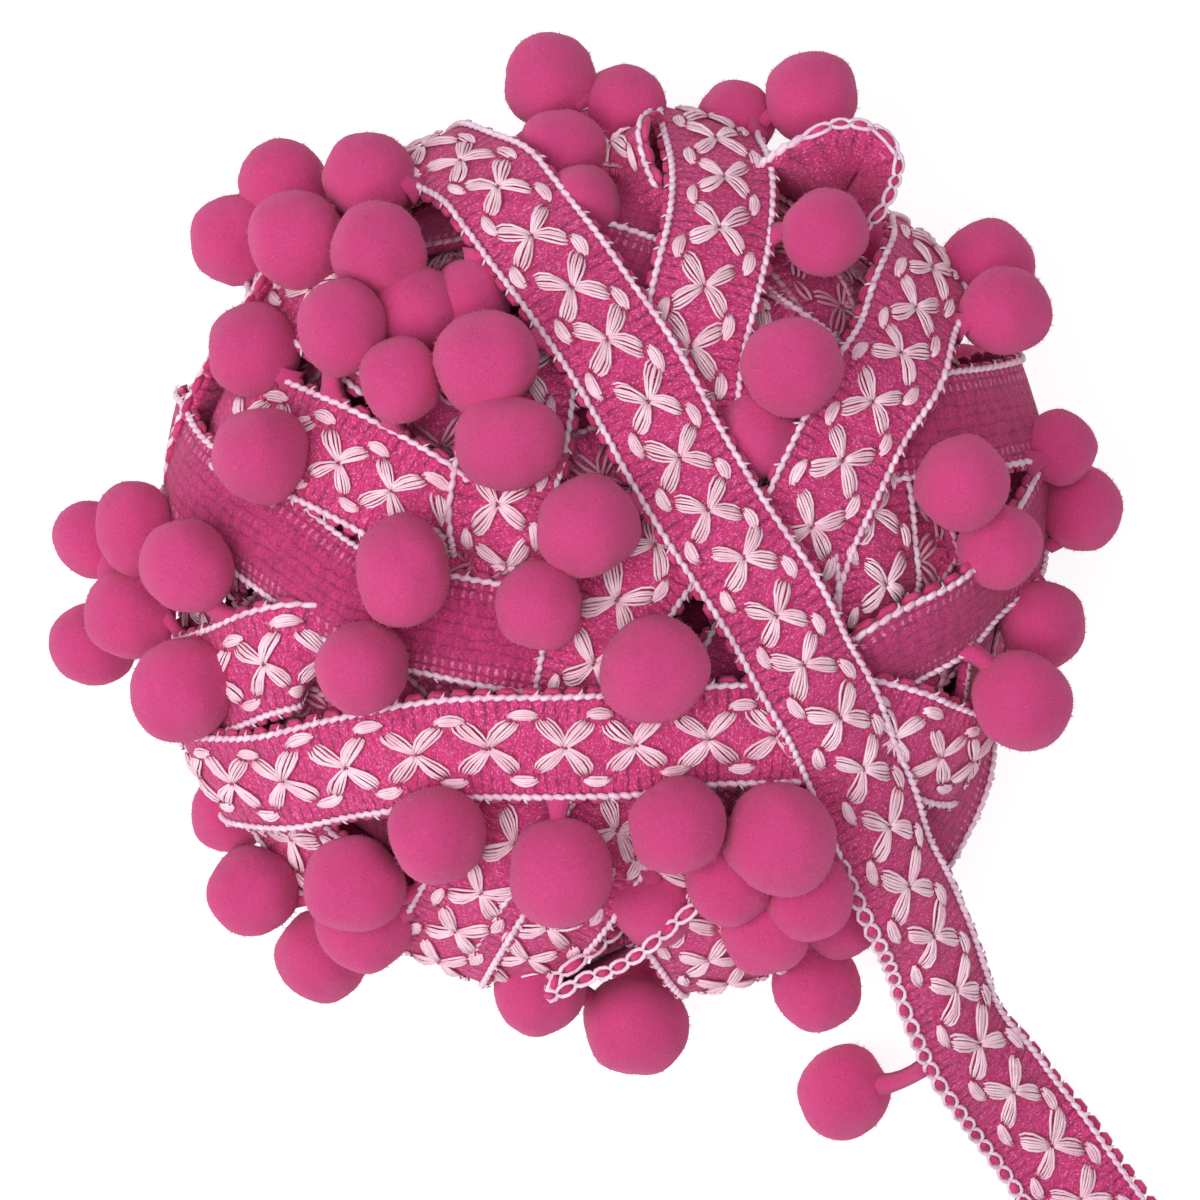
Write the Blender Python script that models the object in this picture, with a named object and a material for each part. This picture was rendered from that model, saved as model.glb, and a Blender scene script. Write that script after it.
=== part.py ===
"""Pompom fringe trim, wound into a loose flattened ball with one loose end running out over the surface.

A 16 mm woven ribbon carries a felt pompom every 22 mm along one edge. The winding is one solid, a flattened
core with its outer turns standing proud of it, and lies on a small flat spot. The loose end is a sheet. The
pompoms of each turn hang by their stems from a narrow strip, which is the pompom edge of that turn. The
origin is the middle of the flat spot, +Z is up, and lengths in the tables are millimetres.
"""

import math

import bmesh
import bpy
from mathutils import Vector
from mathutils.bvhtree import BVHTree
from mathutils.kdtree import KDTree

MM = 0.001

BALL_RADIUS = 66.0
BALL_HALF_HEIGHT = 36.0
BALL_MIDDLE_HEIGHT = 32.0
CORE_DEPTH = 8.5
CORE_DROP = 35.0
CORE_SUBDIVISIONS = 3
FLOOR_CUT_SIDE = 300.0
FLOOR_CUT_DEPTH = 100.0
RIBBON_WIDTH = 16.0
RIBBON_THICKNESS = 1.6
TURN_DEPTH = 10.0
STATION_STEP = 7.5
POMPOM_SQUASH = 0.96
POMPOM_SUBDIVISIONS = 2
STRIP_WIDTH = 2.4
STRIP_THICKNESS = 1.4
STRIP_STEP = 10.0
STRIP_OVERHANG = 3.0
STEM_ROOT_WIDTH = 2.2
STEM_TIP_WIDTH = 1.6
STEM_LENGTH = 2.2
STEM_SUNK = 0.3
STEM_SHARE = 0.9
STRIP_REACH = 2.2
DROP_FROM = 25.0
DROP_HALF_WIDTH = 1.68
GAP = 0.4
CLEARING_SHARE = 0.7
STRIP_PARTS = 3
STEM_PARTS = 5
STRIP_ROUNDS = 4
SETTLE_ROUNDS = 40
FINAL_ROUNDS = 8

# The outer turns, each along the middle of its ribbon, from the underside upwards: east, north, up.
TURNS = {
    "outer": [
        (-20, 37, 4), (-28, 50, 14), (-32, 58, 24), (-28, 60, 38), (-19, 55, 49), (-12, 46, 57), (0, 30, 64),
        (9, 13, 67), (18, -1, 67), (27, -16, 63), (34, -27, 56), (40, -37, 47),
    ],
    "front": [
        (-38, -18, 4), (-52, -24, 14), (-61, -29, 26), (-60, -33, 38), (-48, -33, 48), (-38, -31, 55),
        (-28, -29, 60), (-17, -28, 62), (-7, -28, 63), (4, -27, 63), (14, -27, 61), (24, -27, 58),
        (36, -25, 52),
    ],
    "back_upright": [
        (8, 41, 4), (11, 56, 14), (14, 65, 26), (15, 63, 38), (16, 55, 48), (15, 47, 54), (13, 38, 58),
        (12, 30, 60), (10, 21, 62),
    ],
    "right": [
        (34, 24, 4), (46, 36, 14), (49, 44, 26), (46, 42, 40), (44, 36, 48), (42, 29, 53), (37, 22, 57),
        (33, 13, 60), (28, 4, 61),
    ],
    "left_slant": [
        (-40, 14, 4), (-55, 17, 14), (-64, 15, 28), (-61, 11, 41), (-54, 6, 49), (-43, -1, 55), (-30, -8, 60),
        (-16, -14, 62), (-3, -16, 62),
    ],
    "left_short": [(-58, 20, 40), (-49, 16, 50), (-43, 14, 55), (-32, 9, 60), (-23, -1, 61)],
    "left_low": [
        (-40, -10, 4), (-55, -14, 14), (-64, -17, 28), (-59, -16, 43), (-51, -16, 51), (-39, -14, 56),
    ],
    "right_high": [(38, 16, 4), (53, 22, 14), (61, 26, 28), (56, 28, 42), (45, 26, 51)],
    "right_middle": [(42, 4, 4), (57, 6, 14), (65, 9, 28), (58, 11, 44), (47, 9, 53)],
    "right_low": [(38, -17, 4), (53, -22, 14), (60, -27, 28), (54, -29, 42), (44, -26, 51)],
    "bottom_west": [(-16, -38, 4), (-22, -53, 14), (-25, -61, 28), (-22, -56, 42), (-16, -46, 52)],
    "bottom_east": [(12, -40, 4), (17, -54, 14), (20, -62, 28), (16, -58, 42), (10, -50, 52)],
    "far_left": [(-30, 29, 4), (-41, 40, 14), (-47, 45, 28), (-44, 40, 44), (-34, 34, 55)],
}
# Turns that stand on edge as loops: east, north, up along the middle of the ribbon.
LOOPS = {
    "back_loop": [(22, 52, 48), (27, 60, 46), (36, 63, 40), (42, 58, 40), (40, 50, 46)],
    "front_hairpin": [(14, -52, 46), (2, -56, 40), (-5, -61, 30), (2, -62, 26), (14, -56, 34)],
}
# The middle of the loose end, from where it leaves the winding to its cut end: east, north, up, and how far
# it leans down to its left in degrees.
RUNNING_END = [
    (42, -44, 46, 20), (45, -50, 40, 22), (49, -58, 33, 24), (52, -66, 26, 24), (56, -75, 18, 20),
    (61, -83, 11, 12), (67, -91, 5, 5), (73, -100, 1.8, 0), (80, -110, 0.8, 0), (87, -121, 0.8, 0),
]
# Rows of pompoms on the winding, in order along the turn: east, north, up, diameter. The strip that carries a
# row lies to its left (1) or to its right (-1), seen from outside.
POMPOM_ROWS = {
    "outer_turn": (
        1,
        [(-34, 43, 56, 14), (-18, 26, 67, 15), (-3, 4, 71, 15), (6, -17, 70, 15.5), (24, -41, 60, 16)],
    ),
    "front_turn": (
        1,
        [(-53, -50, 30, 14), (-37, -48, 49, 14.5), (-24, -41, 60, 14), (-7, -46, 61, 15.5),
         (9, -40, 64, 14.5)],
    ),
    "back_upright": (-1, [(30, 68, 32, 14), (31, 46, 56, 13), (26, 26, 65, 14.5)]),
    "back_hidden": (-1, [(-9, 70, 32, 14.5), (-7, 59, 41, 13), (2, 66, 32, 12.5), (19, 65, 29, 12)]),
    "right_turn": (-1, [(58, 36, 42, 14), (50, 10, 58, 14), (57, -3, 52, 13), (60, -22, 46, 14.5)]),
    "right_rim": (1, [(56, 46, 28, 14), (69, 18, 34, 13), (71, 5, 26, 13), (65, -12, 34, 13)]),
    "upper_left": (-1, [(-36, 56, 44, 13.5), (-46, 45, 47, 14.5), (-51, 29, 53, 14), (-50, 13, 58, 14)]),
    "upper_left_inner": (
        -1,
        [(-22, 38, 62, 13), (-36, 31, 60, 13.5), (-30, 20, 64, 13), (-15, 14, 69, 15)],
    ),
    "upper_left_rim": (-1, [(-47, 57, 28, 13), (-58, 44, 28, 13.5)]),
    "middle": (1, [(-10, -8, 70, 13.5), (-29, -3, 67, 14.5), (-35, -18, 64, 13.5)]),
    "left_upper": (1, [(-61, -2, 50, 13.5), (-63, -19, 44, 15), (-58, -39, 25, 12.5)]),
    "left_middle": (1, [(-72, 6, 36, 13), (-73, -10, 32, 13.5)]),
    "left_lower": (1, [(-78, 2, 20, 13), (-77, -14, 18, 13)]),
    "bottom_left": (-1, [(-44, -60, 24, 14), (-36, -57, 38, 14)]),
    "bottom_rim": (1, [(-10, -66, 28, 13.5), (4, -71, 20, 15.5)]),
    "bottom_upper": (-1, [(6, -52, 47, 12.5), (17, -51, 55, 13), (30, -49, 53, 13)]),
}
# Pompoms under the rim, evenly round the winding close to the surface it lies on.
UNDER_ROWS = {
    "under_north": (25, 100), "under_west": (125, 200), "under_south": (225, 275), "under_east": (325, 350),
}
UNDER_RADIUS = 60.0
UNDER_DIAMETER = 14.0
UNDER_STEP_DEGREES = 25.0
# Pompoms on the loose end: east, north, up, diameter.
END_POMPOMS = [(30, -66, 24, 13.5), (36, -82, 7.4, 14.4), (52, -110, 7.1, 14)]

RIBBON_COLOUR = (0.60, 0.03, 0.18, 1.0)
POMPOM_COLOUR = (0.66, 0.05, 0.22, 1.0)


def clear_scene():
    for item in list(bpy.data.objects):
        bpy.data.objects.remove(item, do_unlink=True)


def new_collection(name):
    group = bpy.data.collections.new(name)
    bpy.context.scene.collection.children.link(group)
    return group


def cloth_material(name, colour, roughness):
    material = bpy.data.materials.new(name)
    material.use_nodes = True
    shader = material.node_tree.nodes["Principled BSDF"]
    shader.inputs["Base Color"].default_value = colour
    shader.inputs["Roughness"].default_value = roughness
    shader.inputs["Metallic"].default_value = 0.0
    return material


def outward(point):
    """The direction straight out of the flattened ball at a point, in millimetres."""
    rise = (point.z - BALL_MIDDLE_HEIGHT) / BALL_HALF_HEIGHT**2
    return Vector((point.x / BALL_RADIUS**2, point.y / BALL_RADIUS**2, rise)).normalized()


def smooth_path(points, step):
    """A Catmull-Rom curve through the points, sampled about every step."""
    knots = [Vector(p) for p in points]
    knots = [2 * knots[0] - knots[1], *knots, 2 * knots[-1] - knots[-2]]
    path = []
    for a, b, c, d in zip(knots, knots[1:], knots[2:], knots[3:]):
        pieces = max(1, round((c - b).length / step))
        for i in range(pieces):
            t = i / pieces
            bend = (2 * a - 5 * b + 4 * c - d) * t**2 + (3 * b - a - 3 * c + d) * t**3
            path.append(0.5 * (2 * b + (c - a) * t + bend))
    return [*path, knots[-2]]


def tangents(path):
    ends = [path[0], *path, path[-1]]
    return [(after - before).normalized() for before, after in zip(ends, ends[2:])]


def loft(name, sections, group, material):
    """A closed bar through rings of corner points, given in millimetres."""
    shape = bmesh.new()
    rings = [[shape.verts.new(corner * MM) for corner in section] for section in sections]
    for near, far in zip(rings, rings[1:]):
        for i in range(len(near)):
            j = (i + 1) % len(near)
            shape.faces.new((near[i], near[j], far[j], far[i]))
    shape.faces.new(reversed(rings[0]))
    shape.faces.new(rings[-1])
    return add_mesh(name, shape, group, material)


def add_mesh(name, shape, group, material):
    bmesh.ops.recalc_face_normals(shape, faces=shape.faces)
    mesh = bpy.data.meshes.new(name)
    shape.to_mesh(mesh)
    shape.free()
    mesh.materials.append(material)
    item = bpy.data.objects.new(name, mesh)
    group.objects.link(item)
    return item


def flat_bar(path, normals, width, above, below):
    """Corner rings of a bar of the given width, from above to below the path along its normals."""
    rings = []
    for point, ahead, up in zip(path, tangents(path), normals):
        side = ahead.cross(up).normalized() * (width / 2)
        up = side.cross(ahead).normalized()
        top, bottom = point + up * above, point - up * below
        rings.append((top - side, top + side, bottom + side, bottom - side))
    return rings


def ellipsoid(name, radius, rise, drop, middle, subdivisions, group, material):
    """A flattened sphere that reaches rise above its middle and drop below it."""
    shape = bmesh.new()
    bmesh.ops.create_icosphere(shape, subdivisions=subdivisions, radius=1.0)
    lower = [v for v in shape.verts if v.co.z < 0]
    bmesh.ops.scale(shape, vec=(1, 1, drop / rise), verts=lower)
    bmesh.ops.scale(shape, vec=Vector((radius, radius, rise)) * MM, verts=shape.verts)
    bmesh.ops.translate(shape, vec=Vector(middle) * MM, verts=shape.verts)
    return add_mesh(name, shape, group, material)


def hide_as_cutter(item):
    item.hide_render = True
    item.display_type = "WIRE"


def join(target, group):
    modifier = target.modifiers.new("join", "BOOLEAN")
    modifier.operation = "UNION"
    modifier.solver = "EXACT"
    modifier.operand_type = "COLLECTION"
    modifier.collection = group


def cut(target, cutter):
    modifier = target.modifiers.new("cut", "BOOLEAN")
    modifier.operation = "DIFFERENCE"
    modifier.solver = "EXACT"
    modifier.object = cutter


def cut_all(target, group):
    modifier = target.modifiers.new("cut_all", "BOOLEAN")
    modifier.operation = "DIFFERENCE"
    modifier.solver = "EXACT"
    modifier.operand_type = "COLLECTION"
    modifier.collection = group


def evaluated_tree(item):
    bpy.context.view_layer.update()
    return BVHTree.FromObject(item, bpy.context.evaluated_depsgraph_get())


def make_winding(parts, cutters, material):
    """The core with its outer turns and loops joined to it, cut flat where it lies."""
    middle = (0, 0, BALL_MIDDLE_HEIGHT)
    radius, rise = BALL_RADIUS - CORE_DEPTH, BALL_HALF_HEIGHT - CORE_DEPTH
    ball = ellipsoid("wound_ball", radius, rise, CORE_DROP, middle, CORE_SUBDIVISIONS, parts, material)
    joined = new_collection("joined_turns")
    for name, points in TURNS.items():
        path = smooth_path(points, STATION_STEP)
        rings = flat_bar(path, [outward(p) for p in path], RIBBON_WIDTH, 0.0, TURN_DEPTH)
        hide_as_cutter(loft("turn_" + name, rings, joined, material))
    for name, points in LOOPS.items():
        path = smooth_path(points, STATION_STEP)
        sideways = [ahead.cross(outward(p)) for p, ahead in zip(path, tangents(path))]
        rings = flat_bar(path, sideways, RIBBON_WIDTH, RIBBON_THICKNESS, RIBBON_THICKNESS)
        hide_as_cutter(loft("loop_" + name, rings, joined, material))
    join(ball, joined)
    shape = bmesh.new()
    bmesh.ops.create_cube(shape, size=1.0)
    size = Vector((FLOOR_CUT_SIDE, FLOOR_CUT_SIDE, FLOOR_CUT_DEPTH)) * MM
    bmesh.ops.scale(shape, vec=size, verts=shape.verts)
    bmesh.ops.translate(shape, vec=(0, 0, -size.z / 2), verts=shape.verts)
    floor_cut = add_mesh("floor_cut", shape, cutters, material)
    hide_as_cutter(floor_cut)
    cut(ball, floor_cut)
    return ball


def clear_of(tree, point, distance):
    """The point moved out of the ball until it is at least this far from the surface of the winding."""
    away = outward(point)
    place, _, _, _ = tree.find_nearest(point * MM)
    have = (point - place / MM).length
    leaving, normal, _, _ = tree.ray_cast(point * MM, away)
    if leaving is not None and normal.dot(away) > 0:
        have = -(leaving / MM - point).length
    return point if have >= distance else point + away * (distance - have) * CLEARING_SHARE


def settle(rows, tree):
    """Moves pompoms apart, off the winding and off other rows' strips and stems, until none overlaps."""
    pompoms = [(name, ball) for name, (_, row) in rows.items() for ball in row]
    for _ in range(STRIP_ROUNDS):
        things, owners = strips_and_stems(rows, tree)
        for _ in range(SETTLE_ROUNDS):
            for i, (name, a) in enumerate(pompoms):
                for _, b in pompoms[i + 1 :]:
                    between = b[0] - a[0]
                    short = a[1] + b[1] + GAP - between.length
                    if short > 0:
                        push = between.normalized() * (short / 2)
                        a[0] = a[0] - push
                        b[0] = b[0] + push
                for place, index, distance in things.find_range(a[0], a[1] + STRIP_REACH):
                    if owners[index] != name:
                        a[0] = a[0] + (a[0] - place).normalized() * (a[1] + STRIP_REACH - distance) / 2
                a[0] = clear_of(tree, a[0], a[1] + GAP)
                a[0].z = max(a[0].z, a[1])
    for _, a in pompoms:
        for _ in range(FINAL_ROUNDS):
            a[0] = clear_of(tree, a[0], a[1] + GAP)


def strips_and_stems(rows, tree):
    """A search tree of points along every strip and stem, and the name of the row each point belongs to."""
    points = []
    for name, (side, pompoms) in rows.items():
        path, roots = strip_path(pompoms, side, tree)
        for near, far in zip(path, path[1:]):
            points += [(name, near.lerp(far, part / STRIP_PARTS)) for part in range(STRIP_PARTS)]
        for (middle, _), root in zip(pompoms, roots):
            points += [(name, root.lerp(middle, part / STEM_PARTS)) for part in range(STEM_PARTS)]
    things = KDTree(len(points))
    for index, (_, point) in enumerate(points):
        things.insert(point, index)
    things.balance()
    return things, [name for name, _ in points]


def strip_path(pompoms, side, tree):
    """The line of a row's strip, beside its pompoms and just off the winding."""
    middles = [p[0] for p in pompoms]
    roots = []
    for (middle, radius), ahead in zip(pompoms, tangents(middles)):
        sideways = outward(middle).cross(ahead).normalized() * side
        roots.append(middle + sideways * (radius + STEM_LENGTH))
    ahead = [(roots[1] - roots[0]).normalized(), (roots[-1] - roots[-2]).normalized()]
    line = [roots[0] - ahead[0] * STRIP_OVERHANG, *roots, roots[-1] + ahead[1] * STRIP_OVERHANG]
    path = smooth_path(line, STRIP_STEP)
    path = [drop_on(tree, point, forward) for point, forward in zip(path, tangents(path))]
    return path, [drop_on(tree, root, forward) for root, forward in zip(roots, tangents(roots))]


def drop_on(tree, point, ahead):
    """The point moved along the way out of the ball until a strip there lies just above the winding."""
    away = outward(point)
    across = ahead.cross(away).normalized() * DROP_HALF_WIDTH
    ahead = ahead * (STRIP_STEP / 2)
    highest = -math.inf
    for forward in (-1, -0.5, 0, 0.5, 1):
        for sideways in (-1, 0, 1):
            start = point + ahead * forward + across * sideways + away * DROP_FROM
            place, _, _, _ = tree.ray_cast(start * MM, -away)
            if place is not None:
                highest = max(highest, (place / MM - point).dot(away))
    if highest == -math.inf:
        return point
    return point + away * (highest + GAP + STRIP_THICKNESS / 2)


def pompom(name, middle, radius, pieces, material):
    tall = radius * POMPOM_SQUASH
    hide_as_cutter(ellipsoid(name, radius, tall, tall, middle, POMPOM_SUBDIVISIONS, pieces, material))


def make_row(name, pompoms, side, tree, parts, clearances, material):
    """A strip with its pompoms, and the room that the strip and the stems need in the winding."""
    path, roots = strip_path(pompoms, side, tree)
    strip = loft(name, strip_rings(path, 0.0), parts, material)
    hide_as_cutter(loft(name + "_room", strip_rings(path, GAP), clearances, material))
    pieces = new_collection("pieces_" + name)
    for i, ((middle, radius), root) in enumerate(zip(pompoms, roots)):
        hide_as_cutter(loft(f"{name}_stem_{i}", stem_rings(root, middle, 0.0), pieces, material))
        pompom(f"{name}_ball_{i}", middle, radius, pieces, material)
        hide_as_cutter(loft(f"{name}_stem_{i}_room", stem_rings(root, middle, GAP), clearances, material))
    join(strip, pieces)


def strip_rings(path, room):
    half = STRIP_THICKNESS / 2 + room
    return flat_bar(path, [outward(p) for p in path], STRIP_WIDTH + 2 * room, half, half)


def stem_rings(root, middle, room):
    reach = middle - root
    path = [root - reach.normalized() * (STEM_SUNK + room), root + reach * STEM_SHARE]
    rings = []
    for point, width in zip(path, (STEM_ROOT_WIDTH, STEM_TIP_WIDTH)):
        side = reach.cross(outward(root)).normalized() * (width / 2 + room)
        up = side.cross(reach).normalized() * (width / 2 + room)
        rings.append((point - side - up, point + side - up, point + side + up, point - side + up))
    return rings


def make_running_end(parts, ribbon, felt):
    """The loose end as one sheet, leaning where it leaves the winding and lying flat at its cut end, with the
    strip of its pompom edge to its right."""
    path = smooth_path([row[:3] for row in RUNNING_END], STATION_STEP)
    leans = smooth_path([(row[3], 0, i) for i, row in enumerate(RUNNING_END)], 1 / 3)
    normals, sides = [], []
    for i, (point, forward) in enumerate(zip(path, tangents(path))):
        lean = math.radians(leans[round(i / (len(path) - 1) * (len(leans) - 1))].x)
        side = forward.cross(Vector((0, 0, 1))).normalized()
        up = side.cross(forward).normalized()
        normals.append(up * math.cos(lean) - side * math.sin(lean))
        sides.append(forward.cross(normals[-1]).normalized())
    half = RIBBON_THICKNESS / 2
    parted = STRIP_WIDTH + GAP
    middle = [point - side * (parted / 2) for point, side in zip(path, sides)]
    loft("running_end", flat_bar(middle, normals, RIBBON_WIDTH - parted, half, half), parts, ribbon)
    edge = [point + side * (RIBBON_WIDTH - STRIP_WIDTH) / 2 for point, side in zip(path, sides)]
    strip = loft("pompoms_running_end", flat_bar(edge, normals, STRIP_WIDTH, half, half), parts, felt)
    pieces = new_collection("pieces_running_end")
    for i, row in enumerate(END_POMPOMS):
        middle, radius = Vector(row[:3]), row[3] / 2
        root = min(edge, key=lambda point: (point - middle).length)
        hide_as_cutter(loft(f"running_end_stem_{i}", stem_rings(root, middle, 0.0), pieces, felt))
        pompom(f"running_end_ball_{i}", middle, radius, pieces, felt)
    join(strip, pieces)


def build():
    clear_scene()
    parts = new_collection("pompom_fringe_trim")
    cutters = new_collection("cutters")
    ribbon = cloth_material("ribbon", RIBBON_COLOUR, 0.75)
    felt = cloth_material("pompom_felt", POMPOM_COLOUR, 0.95)
    ball = make_winding(parts, cutters, ribbon)
    tree = evaluated_tree(ball)
    rows = {}
    for name, (side, table) in POMPOM_ROWS.items():
        rows[name] = (side, [[Vector(row[:3]), row[3] / 2] for row in table])
    for name, (first, last) in UNDER_ROWS.items():
        count = round((last - first) / UNDER_STEP_DEGREES) + 1
        radius = UNDER_DIAMETER / 2
        ring = []
        for i in range(count):
            turn = math.radians(first + UNDER_STEP_DEGREES * i)
            middle = Vector((UNDER_RADIUS * math.cos(turn), UNDER_RADIUS * math.sin(turn), radius))
            ring.append([middle, radius])
        rows[name] = (1, ring)
    settle(rows, tree)
    clearances = new_collection("clearances")
    for name, (side, pompoms) in rows.items():
        make_row("pompoms_" + name, pompoms, side, tree, parts, clearances, felt)
    cut_all(ball, clearances)
    make_running_end(parts, ribbon, felt)


build()
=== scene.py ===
import math

import bmesh
import bpy
import numpy as np
from mathutils import Matrix, Vector, noise


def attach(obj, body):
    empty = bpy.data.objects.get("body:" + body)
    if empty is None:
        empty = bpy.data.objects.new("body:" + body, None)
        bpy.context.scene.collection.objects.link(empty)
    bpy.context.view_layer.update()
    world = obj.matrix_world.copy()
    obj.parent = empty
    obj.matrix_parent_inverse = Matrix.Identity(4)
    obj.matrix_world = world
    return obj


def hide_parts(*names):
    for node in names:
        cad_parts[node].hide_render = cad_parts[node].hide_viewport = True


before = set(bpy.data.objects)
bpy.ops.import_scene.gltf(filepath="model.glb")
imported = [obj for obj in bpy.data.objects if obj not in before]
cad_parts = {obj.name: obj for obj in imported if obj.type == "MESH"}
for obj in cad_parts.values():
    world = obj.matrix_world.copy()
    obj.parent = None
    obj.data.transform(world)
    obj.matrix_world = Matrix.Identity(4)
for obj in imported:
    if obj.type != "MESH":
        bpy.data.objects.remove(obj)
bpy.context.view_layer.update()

MM = 0.001
scene = bpy.context.scene

# The camera: it looks straight down at the ball of trim from three quarters of a metre, so that the loose end
# runs out of its view at the lower right.
camera_data = bpy.data.cameras.new("camera")
camera_data.sensor_width = 36.0
camera_data.lens = 145.2
camera = bpy.data.objects.new("camera", camera_data)
camera.location = (-0.0017, -0.0070, 0.750)
scene.collection.objects.link(camera)
scene.camera = camera

# The ribbon: a 16 mm knitted tape, ribbed across on its face and along on its back. It is wound over itself in
# turns round a loose ball, and its last turn runs on as the loose end that falls to the table. In millimetres.
RIBBON_WIDTH = 16.0
RIBBON_THICKNESS = 1.2
LOOP_REACH = 0.35
FRONT, BACK = 1, -1
# The flattened sphere that the turns lie on.
BALL_RADIUS = 66.0
BALL_HALF_HEIGHT = 36.0
BALL_MIDDLE = 32.0
# How finely a turn's curve is worked out, and its tape divided along and across.
CURVE_STEPS = 24
SPACING = 0.5
TAPE_STEP = 1.3
TAPE_CELLS = 12
# How much the tape curls across where it lies on the ball, in degrees a millimetre, and how its edges flute.
BALL_CURL = 0.8
LEAST_CURL = 1e-5
FLUTE, FLUTE_LENGTH = 0.3, 3.1
WAVE, WAVE_LENGTH = 0.25, 5.3

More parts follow.
